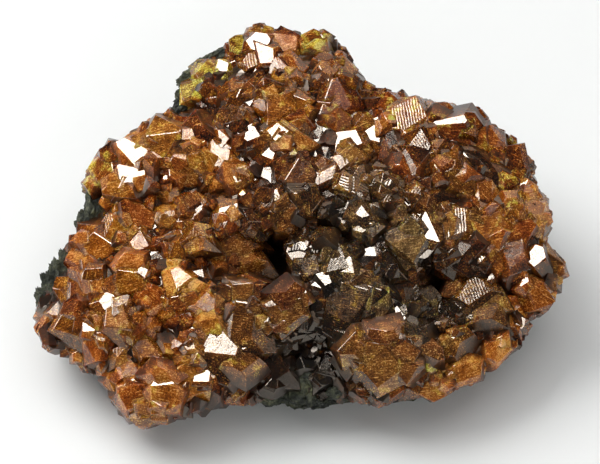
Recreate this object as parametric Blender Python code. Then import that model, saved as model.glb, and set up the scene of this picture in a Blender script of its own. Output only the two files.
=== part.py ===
"""Orpiment specimen: a crust of grown-together crystals on a piece of its host rock.

Metres, +Z up. The specimen lies on its sawn matrix, crust up and tilted toward -Y.
Run with: blender --background --python part.py
"""

import math
import random

import bmesh
import bpy
from mathutils import Matrix, Vector, noise

# All plan coordinates below are read by eye off the photograph, as x, y in its pixels.
PIXEL = 0.000141            # metres on the specimen for one pixel: 536 px are about 76 mm
CENTRE = (303.0, 226.0)     # middle of the specimen in the photograph
VIEW_ELEVATION = math.radians(50)   # angle at which the photograph looks down
FACE_LEAN = 0.35            # how much the crust's face falls away from the lens per pixel up
DOME = 62.0                 # rise of the crust's middle over its rim, in pixels
RIM_DEPTH = 46.0            # thickness of the crust behind its rim, in pixels
FLOOR_BELOW = 104.0         # the sawn base, measured down from the crust's middle, in pixels
ROCK_INSET = 24.0           # how far the rock stays inside the outline, in pixels
SEAT_GAP = 0.0003           # between crust and matrix, so that the two solids never touch
SEED = 31
CRYSTALS = 178              # all of them, named, rim, side and fill

# Edge of the specimen, clockwise from the left.
OUTLINE = [
    (60, 262), (73, 231), (83, 214), (83, 197), (80, 180), (91, 158), (110, 137), (128, 138), (138, 121),
    (168, 112), (180, 92), (184, 72), (200, 55), (220, 48), (238, 31), (260, 22), (281, 26), (300, 33),
    (317, 27), (340, 36), (354, 55), (359, 76), (378, 88), (400, 89), (422, 97), (436, 104), (453, 103),
    (482, 106), (500, 129), (519, 138), (538, 164), (535, 188), (552, 200), (555, 220), (543, 242),
    (565, 256), (568, 274), (556, 296), (540, 315), (525, 335), (517, 349), (494, 366), (470, 387),
    (450, 388), (433, 400), (410, 392), (384, 406), (354, 398), (318, 408), (286, 397), (246, 403),
    (212, 405), (185, 416), (160, 422), (140, 428), (124, 414), (111, 397), (110, 383), (84, 369),
    (59, 352), (40, 348), (33, 315), (38, 290), (46, 275),
]

# Dents (negative) and swells of the crust's face: x, y, spread, height, in pixels.
RELIEF = [
    (276, 252, 17, -44), (446, 283, 15, -38), (165, 362, 12, -26), (306, 368, 28, -22), (232, 262, 16, -16),
    (350, 345, 14, -20), (500, 300, 18, -14), (190, 190, 18, -12), (375, 150, 18, -12), (92, 205, 14, -18),
    (60, 285, 20, -14), (190, 108, 15, -16), (150, 150, 34, 16), (290, 78, 46, 10), (470, 145, 40, 16),
    (400, 118, 26, 10), (110, 300, 40, 12), (285, 312, 24, 16), (382, 374, 26, 20), (150, 398, 28, 16),
    (350, 215, 44, 12), (520, 225, 30, 12), (225, 330, 24, 10), (215, 225, 22, 8), (330, 290, 18, 8),
]

# The crystals that can be told apart: x, y, half width, half height, turn in degrees,
# where the broad face looks (degrees to the right, degrees up).
KEY_CRYSTALS = [
    (157, 140, 28, 21, 15, -6, 10), (101, 168, 31, 20, 58, -24, 12),
    (137, 152, 10, 12, 20, 0, 20), (135, 174, 17, 9, 8, -4, 26),
    (123, 214, 15, 13, 12, -16, 4), (142, 215, 8, 15, -8, 12, 20),
    (190, 83, 12, 15, 20, -24, 16), (205, 68, 9, 9, 30, -16, 24),
    (243, 40, 11, 10, 10, -10, 34), (261, 33, 12, 11, 0, 2, 36),
    (284, 39, 11, 11, 25, 6, 24), (314, 38, 15, 10, 6, 4, 34),
    (337, 46, 11, 11, 30, 4, 20), (347, 60, 10, 18, -6, 26, 10),
    (265, 53, 10, 11, 12, 0, 20), (277, 107, 11, 14, -10, -6, 12),
    (339, 101, 14, 17, 12, 6, 22), (407, 113, 25, 19, 8, 4, 26),
    (440, 116, 17, 12, 10, 2, 20), (417, 148, 14, 12, 32, 0, 20),
    (347, 139, 12, 11, 20, -4, 22), (351, 156, 8, 7, 40, 6, 20),
    (303, 172, 11, 12, 12, 4, 18), (327, 175, 8, 8, 25, 0, 20),
    (470, 131, 22, 24, 2, 0, -8), (491, 138, 8, 13, -6, 8, 22),
    (516, 158, 13, 16, -24, 14, 20), (537, 210, 19, 20, 10, 22, 10),
    (459, 221, 9, 23, 4, 0, 20), (425, 230, 9, 14, -10, -4, 22),
    (492, 225, 15, 12, 12, 4, 20), (412, 247, 8, 14, 6, 10, -4),
    (512, 249, 14, 12, -14, 2, 22), (553, 270, 14, 21, 6, 22, -4),
    (541, 296, 15, 17, -30, 20, -6), (476, 287, 13, 13, 20, 0, 20),
    (310, 264, 11, 15, -8, -12, 18), (285, 313, 22, 17, 8, 2, -10),
    (243, 322, 12, 24, -6, -8, 8), (222, 343, 19, 11, -20, -2, 20),
    (166, 350, 12, 9, 10, 0, 20), (147, 348, 10, 9, 0, -4, 16),
    (74, 322, 19, 18, 30, -20, 8), (119, 315, 13, 12, 12, -6, 16),
    (181, 277, 8, 14, -12, 0, 20), (208, 303, 14, 9, 16, 0, 18),
    (133, 399, 19, 16, 10, -14, -6), (162, 401, 18, 17, -12, 2, -8),
    (150, 417, 16, 11, 4, -2, -24), (186, 396, 15, 14, 18, 8, -6),
    (132, 388, 12, 9, 8, -4, 20), (204, 379, 9, 10, 20, 0, 20),
    (267, 365, 16, 21, 8, -4, 2), (328, 365, 12, 8, 10, 0, 18),
    (347, 305, 14, 22, -12, -4, 14), (384, 374, 30, 24, 6, 0, -6),
    (378, 350, 14, 11, 8, 0, 20), (430, 362, 8, 15, 4, -6, 16),
    (433, 389, 19, 11, 8, 0, -22), (468, 373, 21, 15, 24, 12, -14),
    (499, 352, 20, 15, 34, 18, -10), (97, 247, 16, 14, 14, -14, 6),
    (131, 281, 17, 15, 20, -6, 4), (545, 240, 10, 9, 0, 20, 8),
]

# Places where the host rock comes up to the surface: x, y, half width, half height, rise, in pixels.
MATRIX_KNOBS = [
    (98, 206, 23, 21, 10), (60, 288, 22, 25, 12), (188, 108, 24, 19, 8), (262, 392, 27, 24, 12),
    (304, 391, 36, 30, 16), (342, 393, 24, 20, 12), (216, 66, 22, 17, 7),
]


def clear_scene():
    """Leave only what this script makes."""
    for thing in list(bpy.data.objects):
        bpy.data.objects.remove(thing, do_unlink=True)


def make_collection(name, hidden=False):
    """A collection for the finished pieces, or for the solids that shape them."""
    collection = bpy.data.collections.new(name)
    bpy.context.scene.collection.children.link(collection)
    collection.hide_render = hidden
    return collection


def to_world(u, v, w):
    """Plane of the photograph (u right, v up, w toward the lens, in pixels) to world metres."""
    s, c = math.sin(VIEW_ELEVATION), math.cos(VIEW_ELEVATION)
    return Vector((u, v * s - w * c, v * c + w * s + FLOOR_BELOW)) * PIXEL


def rim_radius(angle):
    """Distance from the middle to the outline in the direction of angle, in pixels."""
    ray = (math.cos(angle), math.sin(angle))
    best = 0.0
    count = len(OUTLINE)
    for i in range(count):
        ax, ay = OUTLINE[i][0] - CENTRE[0], CENTRE[1] - OUTLINE[i][1]
        bx, by = OUTLINE[(i + 1) % count][0] - CENTRE[0], CENTRE[1] - OUTLINE[(i + 1) % count][1]
        ex, ey = bx - ax, by - ay
        det = ray[0] * ey - ray[1] * ex
        if abs(det) < 1e-9:
            continue
        along = (ax * ey - ay * ex) / det
        part = (ax * ray[1] - ay * ray[0]) / det
        if along > 0 and -1e-6 <= part <= 1 + 1e-6:
            best = max(best, along)
    return best


RIM = [rim_radius(math.radians(a)) for a in range(360)]


def rim_at(u, v):
    """Outline radius in the direction of u, v, between two whole degrees."""
    a = math.degrees(math.atan2(v, u)) % 360
    low = int(a) % 360
    return RIM[low] + (RIM[(low + 1) % 360] - RIM[low]) * (a - int(a))


def face_height(u, v):
    """Height of the crust's face toward the lens over u, v, without its crystals."""
    share = min(1.0, math.hypot(u, v) / max(1.0, rim_at(u, v)))
    w = -FACE_LEAN * v + DOME * (1 - share * share) ** 0.55
    for x, y, spread, height in RELIEF:
        du, dv = u - (x - CENTRE[0]), v - (CENTRE[1] - y)
        w += height * math.exp(-(du * du + dv * dv) / (2 * spread * spread))
    return w


def face_normal(u, v):
    """Outward direction of the face at u, v, in the plane of the photograph."""
    step = 6.0
    du = (face_height(u + step, v) - face_height(u - step, v)) / (2 * step)
    dv = (face_height(u, v + step) - face_height(u, v - step)) / (2 * step)
    return Vector((-du, -dv, 1.0)).normalized()


def finish_mesh(bm, name, collection):
    """Close the bmesh into an object of the collection, faces outward."""
    bmesh.ops.recalc_face_normals(bm, faces=bm.faces)
    if bm.calc_volume(signed=True) < 0:
        bmesh.ops.reverse_faces(bm, faces=bm.faces)
    mesh = bpy.data.meshes.new(name)
    bm.to_mesh(mesh)
    bm.free()
    thing = bpy.data.objects.new(name, mesh)
    collection.objects.link(thing)
    return thing


def slice_off(bm, point, normal):
    """Cut the closed bmesh with a plane, drop what lies beyond it and cap the cut."""
    geometry = bm.verts[:] + bm.edges[:] + bm.faces[:]
    cut = bmesh.ops.bisect_plane(bm, geom=geometry, plane_co=point, plane_no=normal, clear_outer=True,
                                 dist=1e-7)
    edges = [g for g in cut["geom_cut"] if isinstance(g, bmesh.types.BMEdge)]
    if edges:
        bmesh.ops.edgenet_fill(bm, edges=edges)


def crystal_form(half_x, half_y, top, sides, depth, rng):
    """One crystal in pixels: a flat face at z = 0, sloping faces around it and steep sides down to -depth.

    top is the flat face's share of the crystal's width.
    """
    bm = bmesh.new()
    bmesh.ops.create_cube(bm, size=2.0)
    bmesh.ops.scale(bm, vec=(1.7 * half_x, 1.7 * half_y, depth / 2), verts=bm.verts)
    bmesh.ops.translate(bm, vec=(0, 0, -depth / 2), verts=bm.verts)
    start = rng.uniform(0, math.tau)
    for i in range(sides):
        turn = start + (i + rng.uniform(-0.22, 0.22)) * math.tau / sides
        cut_face(bm, turn, rng.uniform(66, 84), half_x, half_y, -0.3 * min(half_x, half_y))
    slopes = rng.choice((3, 4, 4))
    start = rng.uniform(0, math.tau)
    for i in range(slopes):
        turn = start + (i + rng.uniform(-0.25, 0.25)) * math.tau / slopes
        share = top * rng.uniform(0.75, 1.2)
        cut_face(bm, turn, rng.uniform(24, 50), half_x * share, half_y * share, 0.0)
    return bm


def cut_face(bm, turn, lean, reach_x, reach_y, height):
    """Cut one flat face: it looks toward turn, leans out by lean degrees and passes the reach."""
    side = math.sin(math.radians(lean))
    normal = Vector((math.cos(turn) * side, math.sin(turn) * side, math.cos(math.radians(lean))))
    slice_off(bm, Vector((reach_x * math.cos(turn), reach_y * math.sin(turn), height)), normal)


def facing(right, up):
    """Direction in the photograph's frame that looks the given degrees right and up."""
    a, b = math.radians(right), math.radians(up)
    return Vector((math.sin(a) * math.cos(b), math.sin(b), math.cos(a) * math.cos(b)))


def set_crystal(bm, u, v, w, normal, turn):
    """Turn a crystal made flat so that its broad face looks along normal, and put it in the world."""
    lift = Vector((0, 0, 1)).rotation_difference(normal).to_matrix() @ Matrix.Rotation(turn, 3, "Z")
    for vert in bm.verts:
        point = lift @ vert.co + Vector((u, v, w))
        vert.co = to_world(*point)


def grain_turn(u, v):
    """Crystals near each other grew in nearly the same direction."""
    return math.tau * noise.noise(Vector((u * 0.009, v * 0.009, 4.0)))


def crystal_plan():
    """Every large crystal: the named ones, the rim, the side under the rim, then the fill of the face.

    Each is u, v, w, half width, half height, share of the flat face, turn, direction it looks.
    """
    rng = random.Random(SEED)
    plan = []
    for x, y, half_x, half_y, turn, right, up in KEY_CRYSTALS:
        u, v = x - CENTRE[0], CENTRE[1] - y
        big = min(half_x, half_y) > 14
        body_x, body_y = (half_x * 1.2, half_y * 1.2) if big else (half_x * 1.5 + 5, half_y * 1.5 + 5)
        room = rim_at(u, v) - math.hypot(u, v)
        body_x, body_y = min(body_x, room + 5), min(body_y, 0.85 * room + 4)
        top = 0.62 if big else min(0.8, half_x / body_x, half_y / body_y)
        plan.append((u, v, face_height(u, v) + (12.0 if big else 10.0), body_x, body_y, top,
                     math.radians(turn), facing(right, up)))
    named = len(plan)
    count = len(OUTLINE)
    for i in range(count):
        ax, ay = OUTLINE[i]
        bx, by = OUTLINE[(i + 1) % count]
        u, v = (ax + bx) / 2 - CENTRE[0], CENTRE[1] - (ay + by) / 2
        out = Vector((u, v, 0)).normalized()
        size = rng.uniform(12, 18)
        if i % 3 == 0:
            low = -FACE_LEAN * v - RIM_DEPTH * rng.uniform(0.35, 0.6)
            down = (out + Vector((0, 0, rng.uniform(-0.35, 0.25)))).normalized()
            plan.append((u - out.x * 16, v - out.y * 16, low, size * 1.25, size * 1.1, 0.5,
                         rng.uniform(0, math.tau), down))
        u, v = u - out.x * size * 0.8, v - out.y * size * 0.8
        if near_matrix(u, v) or any(math.hypot(u - p[0], v - p[1]) < 13 for p in plan[:named]):
            continue
        normal = (out * rng.uniform(0.15, 0.75) + Vector((0, 0.1, 1))).normalized()
        plan.append((u, v, face_height(u, v) + 4, size, size * rng.uniform(0.7, 1.0),
                     rng.uniform(0.35, 0.6), rng.uniform(0, math.tau), normal))
    tries = 0
    while tries < 6000 and len(plan) < CRYSTALS:
        tries += 1
        angle, reach = rng.uniform(0, math.tau), math.sqrt(rng.random()) * 0.92
        radius = rim_at(math.cos(angle), math.sin(angle)) * reach
        u, v = radius * math.cos(angle), radius * math.sin(angle)
        size = rng.choice((18, 22, 27) if tries < 1500 else (13, 15, 18))
        near = min(math.hypot(u - p[0], v - p[1]) - 0.58 * (size + min(p[3], p[4])) for p in plan)
        if near < 0 or near_matrix(u, v):
            continue
        normal = face_normal(u, v)
        normal = (normal + Vector((rng.gauss(0, 0.2), rng.gauss(0, 0.2) + 0.08, 0.35))).normalized()
        plan.append((u, v, face_height(u, v) + rng.uniform(5.0, 12.0), size, size * rng.uniform(0.65, 0.95),
                     rng.uniform(0.25, 0.65), grain_turn(u, v) + rng.gauss(0, 0.3), normal))
    return plan



def near_matrix(u, v):
    """Whether the host rock shows at u, v."""
    for x, y, half_x, half_y, _ in MATRIX_KNOBS:
        if ((u - x + CENTRE[0]) / half_x) ** 2 + ((v - CENTRE[1] + y) / half_y) ** 2 < 0.8:
            return True
    return False


def crust_body(collection):
    """The mass that the crystals grew together into: a ball pressed to the outline and the relief."""
    bm = bmesh.new()
    bmesh.ops.create_icosphere(bm, subdivisions=3, radius=1.0)
    for vert in bm.verts:
        x, y, z = vert.co
        flat = math.hypot(x, y)
        radius = (rim_at(x, y) - 15) * flat
        u, v = (radius * x / flat, radius * y / flat) if flat > 1e-6 else (0.0, 0.0)
        if z >= 0:
            w = face_height(u, v) - 3
        else:
            w = -FACE_LEAN * v - RIM_DEPTH * abs(z) ** 0.5
        w += 5.0 * noise.noise(Vector((u, v, w)) * 0.05)
        vert.co = to_world(u, v, w)
    return finish_mesh(bm, "crust_body", collection)


def orpiment_crystals(collection):
    """All crystals of the crust, each a closed solid of its own that overlaps its neighbours."""
    rng = random.Random(SEED + 1)
    for i, (u, v, w, half_x, half_y, top, turn, normal) in enumerate(crystal_plan()):
        depth = max(half_x, half_y) * 0.8 + 20
        bm = crystal_form(half_x, half_y, top, rng.choice((4, 5, 5)), depth, rng)
        set_crystal(bm, u, v, w, normal, turn)
        hide_cutter(finish_mesh(bm, "crystal_%03d" % i, collection))


def rough(direction, seed):
    """Uneven, angular skin of the rock: how far it stands in or out in a direction."""
    swell = 1 + 0.11 * noise.noise(direction * 1.9 + Vector((seed, 0, 0)))
    swell += 0.07 * abs(noise.noise(direction * 4.6 + Vector((0, seed, 0)))) - 0.02
    return swell


def rock_body(collection, grow=0.0):
    """The host rock under the crust: a ball pressed between the floor and the crust's underside."""
    bm = bmesh.new()
    bmesh.ops.create_icosphere(bm, subdivisions=3, radius=1.0)
    for vert in bm.verts:
        direction = vert.co.normalized()
        x, y, z = direction
        flat = math.hypot(x, y)
        radius = (rim_at(x, y) - ROCK_INSET) * flat ** 0.7 * rough(direction, 3.0)
        px, py = (radius * x / flat, radius * y / flat) if flat > 1e-6 else (0.0, 0.0)
        top = 0.378 * py + FLOOR_BELOW - RIM_DEPTH + 16
        middle = max(14.0, top * 0.45)
        if z >= 0:
            pz = middle + (top - middle) * z ** 0.5 * rough(direction, 9.0)
        else:
            pz = middle - (middle + 12) * abs(z) ** 0.5
            px, py = px * (1 + 0.16 * z), py * (1 + 0.16 * z)
        vert.co = Vector((px, py, pz)) * PIXEL + direction * grow
    return finish_mesh(bm, "rock_body", collection)


def matrix_lumps(collection, grow=0.0):
    """The host rock's body and the spurs of it that reach the surface."""
    lumps = [rock_body(collection, grow)]
    for i, (x, y, half_x, half_y, rise) in enumerate(MATRIX_KNOBS):
        u, v = x - CENTRE[0], CENTRE[1] - y
        tip = to_world(u, v, face_height(u, v) + rise)
        root = Vector((tip.x * 0.72, tip.y * 0.72, 22 * PIXEL))
        axis = tip - root
        half = Vector((half_x * PIXEL, half_y * PIXEL, axis.length * 0.55))
        lean = axis.to_track_quat("Z", "Y")
        bm = bmesh.new()
        bmesh.ops.create_icosphere(bm, subdivisions=2, radius=1.0)
        for vert in bm.verts:
            way = vert.co.normalized()
            scale = rough(way * 1.4, 20.0 + i) ** 2
            reach = lean @ (Vector((way.x * half.x, way.y * half.y, way.z * half.z)) * scale)
            vert.co = tip - axis * 0.55 + reach + (lean @ way) * grow
        lumps.append(finish_mesh(bm, "rock_spur_%d" % i, collection))
    return lumps


def floor_cutter(collection, height):
    """A slab under the specimen; its top face is the saw cut that the matrix rests on."""
    bm = bmesh.new()
    bmesh.ops.create_cube(bm, size=1.0)
    bmesh.ops.scale(bm, vec=(0.2, 0.2, 0.08), verts=bm.verts)
    bmesh.ops.translate(bm, vec=(0, 0, height - 0.04), verts=bm.verts)
    return finish_mesh(bm, "floor_cutter", collection)


def hide_cutter(thing):
    """Cutters and joined pieces stay in the file but out of the render."""
    thing.hide_render = True
    thing.display_type = "WIRE"


def boolean(thing, operation, other=None, collection=None, use_self=False):
    """Apply one exact Boolean with an object or with all objects of a collection."""
    step = thing.modifiers.new(operation.lower(), "BOOLEAN")
    step.operation = operation
    step.solver = "EXACT"
    if collection is not None:
        step.operand_type = "COLLECTION"
        step.collection = collection
    else:
        step.object = other
    step.use_self = use_self
    bpy.context.view_layer.objects.active = thing
    bpy.ops.object.modifier_apply(modifier=step.name)


def keep_largest(thing):
    """Drop splinters that the cuts left loose, so that one body stays."""
    bm = bmesh.new()
    bm.from_mesh(thing.data)
    bmesh.ops.remove_doubles(bm, verts=bm.verts, dist=1e-6)
    bmesh.ops.dissolve_degenerate(bm, edges=bm.edges, dist=1e-6)
    groups, seen = [], set()
    for first in bm.verts:
        if first in seen:
            continue
        group, stack = [], [first]
        seen.add(first)
        while stack:
            vert = stack.pop()
            group.append(vert)
            for edge in vert.link_edges:
                other = edge.other_vert(vert)
                if other not in seen:
                    seen.add(other)
                    stack.append(other)
        groups.append(group)
    groups.sort(key=len, reverse=True)
    for group in groups[1:]:
        bmesh.ops.delete(bm, geom=group, context="VERTS")
    bmesh.ops.recalc_face_normals(bm, faces=bm.faces)
    bm.to_mesh(thing.data)
    bm.free()


def material(name, colour, roughness, metallic=0.0):
    """A plain Principled material."""
    mat = bpy.data.materials.new(name)
    mat.use_nodes = True
    shader = mat.node_tree.nodes["Principled BSDF"]
    shader.inputs["Base Color"].default_value = (*colour, 1.0)
    shader.inputs["Roughness"].default_value = roughness
    shader.inputs["Metallic"].default_value = metallic
    return mat


def build_matrix(pieces, cutters):
    """The dark, grainy host rock, sawn flat underneath."""
    lumps = matrix_lumps(cutters)
    rock = lumps[0]
    rock.name = "matrix"
    cutters.objects.unlink(rock)
    pieces.objects.link(rock)
    for spur in lumps[1:]:
        boolean(rock, "UNION", spur, use_self=True)
        hide_cutter(spur)
    saw = floor_cutter(cutters, 0.0)
    boolean(rock, "DIFFERENCE", saw, use_self=True)
    hide_cutter(saw)
    keep_largest(rock)
    rock.data.materials.append(material("host_rock", (0.10, 0.11, 0.07), 0.85))
    return rock


def build_crust(pieces, cutters):
    """The orpiment crust: its body and all its crystals in one solid, fitted over the matrix."""
    crystals = make_collection("crystals", hidden=True)
    crust = crust_body(pieces)
    crust.name = "orpiment_crust"
    orpiment_crystals(crystals)
    boolean(crust, "UNION", collection=crystals, use_self=True)
    for lump in matrix_lumps(cutters, grow=SEAT_GAP * 1.5):
        boolean(crust, "DIFFERENCE", lump, use_self=True)
        hide_cutter(lump)
    saw = floor_cutter(cutters, 0.0012)
    boolean(crust, "DIFFERENCE", saw, use_self=True)
    hide_cutter(saw)
    keep_largest(crust)
    crust.data.materials.append(material("orpiment", (0.42, 0.16, 0.02), 0.2))
    return crust


def centre_on_floor(things):
    """Bring the middle of the overall box over the origin, and the saw cut to z = 0."""
    corners = [thing.matrix_world @ vert.co for thing in things for vert in thing.data.vertices]
    low = Vector([min(c[i] for c in corners) for i in range(3)])
    high = Vector([max(c[i] for c in corners) for i in range(3)])
    shift = Vector((-(low.x + high.x) / 2, -(low.y + high.y) / 2, -low.z))
    for thing in things:
        thing.data.transform(Matrix.Translation(shift))
    print("moved by", ["%.6f" % v for v in shift])


def main():
    clear_scene()
    pieces = make_collection("orpiment_specimen")
    cutters = make_collection("cutters", hidden=True)
    things = [build_matrix(pieces, cutters), build_crust(pieces, cutters)]
    centre_on_floor(things)


main()
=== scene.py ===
import math
import random

import bmesh
import bpy
from mathutils import Matrix, Vector, noise


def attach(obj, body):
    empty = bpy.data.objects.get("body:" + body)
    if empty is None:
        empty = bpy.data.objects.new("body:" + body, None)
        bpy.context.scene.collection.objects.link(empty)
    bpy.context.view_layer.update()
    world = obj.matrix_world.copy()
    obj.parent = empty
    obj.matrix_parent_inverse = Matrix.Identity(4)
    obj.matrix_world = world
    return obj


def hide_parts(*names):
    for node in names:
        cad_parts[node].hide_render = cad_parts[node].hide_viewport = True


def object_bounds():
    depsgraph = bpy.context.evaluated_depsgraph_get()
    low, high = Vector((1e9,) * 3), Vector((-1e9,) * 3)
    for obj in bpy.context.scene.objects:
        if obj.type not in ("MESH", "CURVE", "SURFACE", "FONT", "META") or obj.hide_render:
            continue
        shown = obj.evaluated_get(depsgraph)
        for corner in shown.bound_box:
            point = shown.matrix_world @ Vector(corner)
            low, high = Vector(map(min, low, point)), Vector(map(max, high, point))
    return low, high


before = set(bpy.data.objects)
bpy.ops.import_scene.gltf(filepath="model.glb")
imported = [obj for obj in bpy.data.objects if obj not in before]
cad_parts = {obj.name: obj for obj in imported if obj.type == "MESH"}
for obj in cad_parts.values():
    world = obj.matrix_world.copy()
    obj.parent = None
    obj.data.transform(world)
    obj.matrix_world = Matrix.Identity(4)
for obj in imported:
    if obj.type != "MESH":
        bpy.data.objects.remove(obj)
CAD_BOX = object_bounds()

# The camera and the studio.
# The specimen lies on a white sheet under a long lens. A diffuser above it, to the left and a little
# behind, throws its shadow to the right. Softboxes and warm cards show only as glints on its crystals.
PIXEL = 0.000141                     # metres on the specimen for one pixel of the photograph
CENTRE = (303.0, 226.0)              # pixel at the middle of the specimen
VIEW_ELEVATION = math.radians(50)    # angle at which the lens looks down
FLOOR_BELOW = 104.0                  # the sheet, measured down from the specimen's middle, in pixels
SHIFT = Vector((-0.000024, 0.000825, 0.0))    # sets the specimen over the origin, as the solids are


def to_world(u, v, w):
    """Plane of the photograph (u right, v up, w toward the lens, in pixels) to world metres."""
    s, c = math.sin(VIEW_ELEVATION), math.cos(VIEW_ELEVATION)
    return Vector((u, v * s - w * c, v * c + w * s + FLOOR_BELOW)) * PIXEL + SHIFT


scene = bpy.context.scene
scene.view_settings.view_transform = "Standard"
scene.view_settings.look = "None"
DISTANCE = 0.9                       # metres from the lens to the specimen
SENSOR = 36.0                        # width of the camera's sensor, in millimetres
PHOTO_WIDTH = 600                    # pixels
PHOTO_MIDDLE = (300, 232)
AIM_TOWARD_LENS = 20                 # the point aimed at, in pixels in front of the specimen's middle
aim = to_world(PHOTO_MIDDLE[0] - CENTRE[0], CENTRE[1] - PHOTO_MIDDLE[1], AIM_TOWARD_LENS)
camera_data = bpy.data.cameras.new("camera")
camera_data.sensor_width = SENSOR
camera_data.lens = SENSOR * DISTANCE / (PHOTO_WIDTH * PIXEL)
camera_data.clip_end = 20
camera = bpy.data.objects.new("camera", camera_data)
scene.collection.objects.link(camera)
camera.location = aim + Vector((0, -math.cos(VIEW_ELEVATION), math.sin(VIEW_ELEVATION))) * DISTANCE
camera.rotation_euler = (math.pi / 2 - VIEW_ELEVATION, 0, 0)
scene.camera = camera


def area_light(name, place, width, height, radiance, mirrored=False):
    """A panel that faces the specimen: a soft one that no face mirrors, or one seen only as a glint."""
    data = bpy.data.lights.new(name, "AREA")
    data.shape = "RECTANGLE"
    data.size, data.size_y = width, height
    data.energy = radiance * math.pi * width * height
    light = bpy.data.objects.new(name, data)
    scene.collection.objects.link(light)
    light.location = place
    light.rotation_euler = (-Vector(place)).to_track_quat("-Z", "Y").to_euler()
    light.visible_diffuse = not mirrored
    light.visible_glossy = mirrored
    return light


area_light("key_diffuser", (-0.34, 0.16, 0.46), 0.46, 0.40, 5.3)
area_light("ceiling_diffuser", (0.05, 0.10, 1.10), 1.3, 1.3, 1.25)
area_light("front_diffuser", (0.25, -0.85, 0.55), 1.2, 0.8, 1.2)
area_light("softbox_above", (-0.08, 0.08, 0.62), 0.24, 0.20, 22.0, mirrored=True)
area_light("softbox_left", (-0.62, 0.10, 0.30), 0.18, 0.26, 10.0, mirrored=True)
back_card = area_light("back_card", (0.10, 0.80, 0.50), 0.9, 0.6, 1.2, mirrored=True)
side_card = area_light("side_card", (0.55, -0.10, 0.42), 0.30, 0.30, 1.5, mirrored=True)
WARM_CARD = (1.0, 0.82, 0.69)
for card in (back_card, side_card):
    card.data.color = WARM_CARD

world = bpy.data.worlds.new("studio_walls")
scene.world = world
world.use_nodes = True
walls = world.node_tree.nodes["Background"]
walls.inputs["Color"].default_value = (0.92, 0.95, 1.0, 1)
walls.inputs["Strength"].default_value = 0.06

bpy.ops.mesh.primitive_plane_add(size=6.0, location=(0, 0, 0))
floor = bpy.context.object
floor.name = "floor"
paper = bpy.data.materials.new("white_sheet")
paper.use_nodes = True
sheet = paper.node_tree.nodes["Principled BSDF"]
sheet.inputs["Base Color"].default_value = (0.86, 0.87, 0.86, 1)
sheet.inputs["Roughness"].default_value = 0.9
sheet.inputs["Specular IOR Level"].default_value = 0.1
floor.data.materials.append(paper)

# The crust's crystals.
# Orpiment, an arsenic sulfide: blocky, wedge-ended crystals 2 to 8 mm long that grew together into one
# translucent amber crust. The large ones stand where the solid has them; smaller ones grew on their faces.
FACE_LEAN = 0.35      # how much the crust's face falls away from the lens per pixel up
DOME = 62.0           # rise of the crust's middle over its rim, in pixels
DOME_ROUND = 0.55     # the lower, the flatter the dome and the steeper its rim
RIM_DEPTH = 46.0      # thickness of the crust behind its rim, in pixels
SEED = 31
CRYSTALS = 178        # all the large ones: named, rim, side and fill

# Edge of the specimen, clockwise from the left.
OUTLINE = [
    (60, 262), (73, 231), (83, 214), (83, 197), (80, 180), (91, 158), (110, 137), (128, 138), (138, 121),
    (168, 112), (180, 92), (184, 72), (200, 55), (220, 48), (238, 31), (260, 22), (281, 26), (300, 33),
    (317, 27), (340, 36), (354, 55), (359, 76), (378, 88), (400, 89), (422, 97), (436, 104), (453, 103),
    (482, 106), (500, 129), (519, 138), (538, 164), (535, 188), (552, 200), (555, 220), (543, 242),
    (565, 256), (568, 274), (556, 296), (540, 315), (525, 335), (517, 349), (494, 366), (470, 387),
    (450, 388), (433, 400), (410, 392), (384, 406), (354, 398), (318, 408), (286, 397), (246, 403),
    (212, 405), (185, 416), (160, 422), (140, 428), (124, 414), (111, 397), (110, 383), (84, 369),
    (59, 352), (40, 348), (33, 315), (38, 290), (46, 275),
]

# Dents (negative) and swells of the crust's face: x, y, spread, height, in pixels.
RELIEF = [
    (276, 252, 17, -44), (446, 283, 15, -38), (165, 362, 12, -26), (306, 368, 28, -22), (232, 262, 16, -16),
    (350, 345, 14, -20), (500, 300, 18, -14), (190, 190, 18, -12), (375, 150, 18, -12), (92, 205, 14, -18),
    (60, 285, 20, -14), (190, 108, 15, -16), (150, 150, 34, 16), (290, 78, 46, 10), (470, 145, 40, 16),
    (400, 118, 26, 10), (110, 300, 40, 12), (285, 312, 24, 16), (382, 374, 26, 20), (150, 398, 28, 16),
    (350, 215, 44, 12), (520, 225, 30, 12), (225, 330, 24, 10), (215, 225, 22, 8), (330, 290, 18, 8),
]

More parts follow.
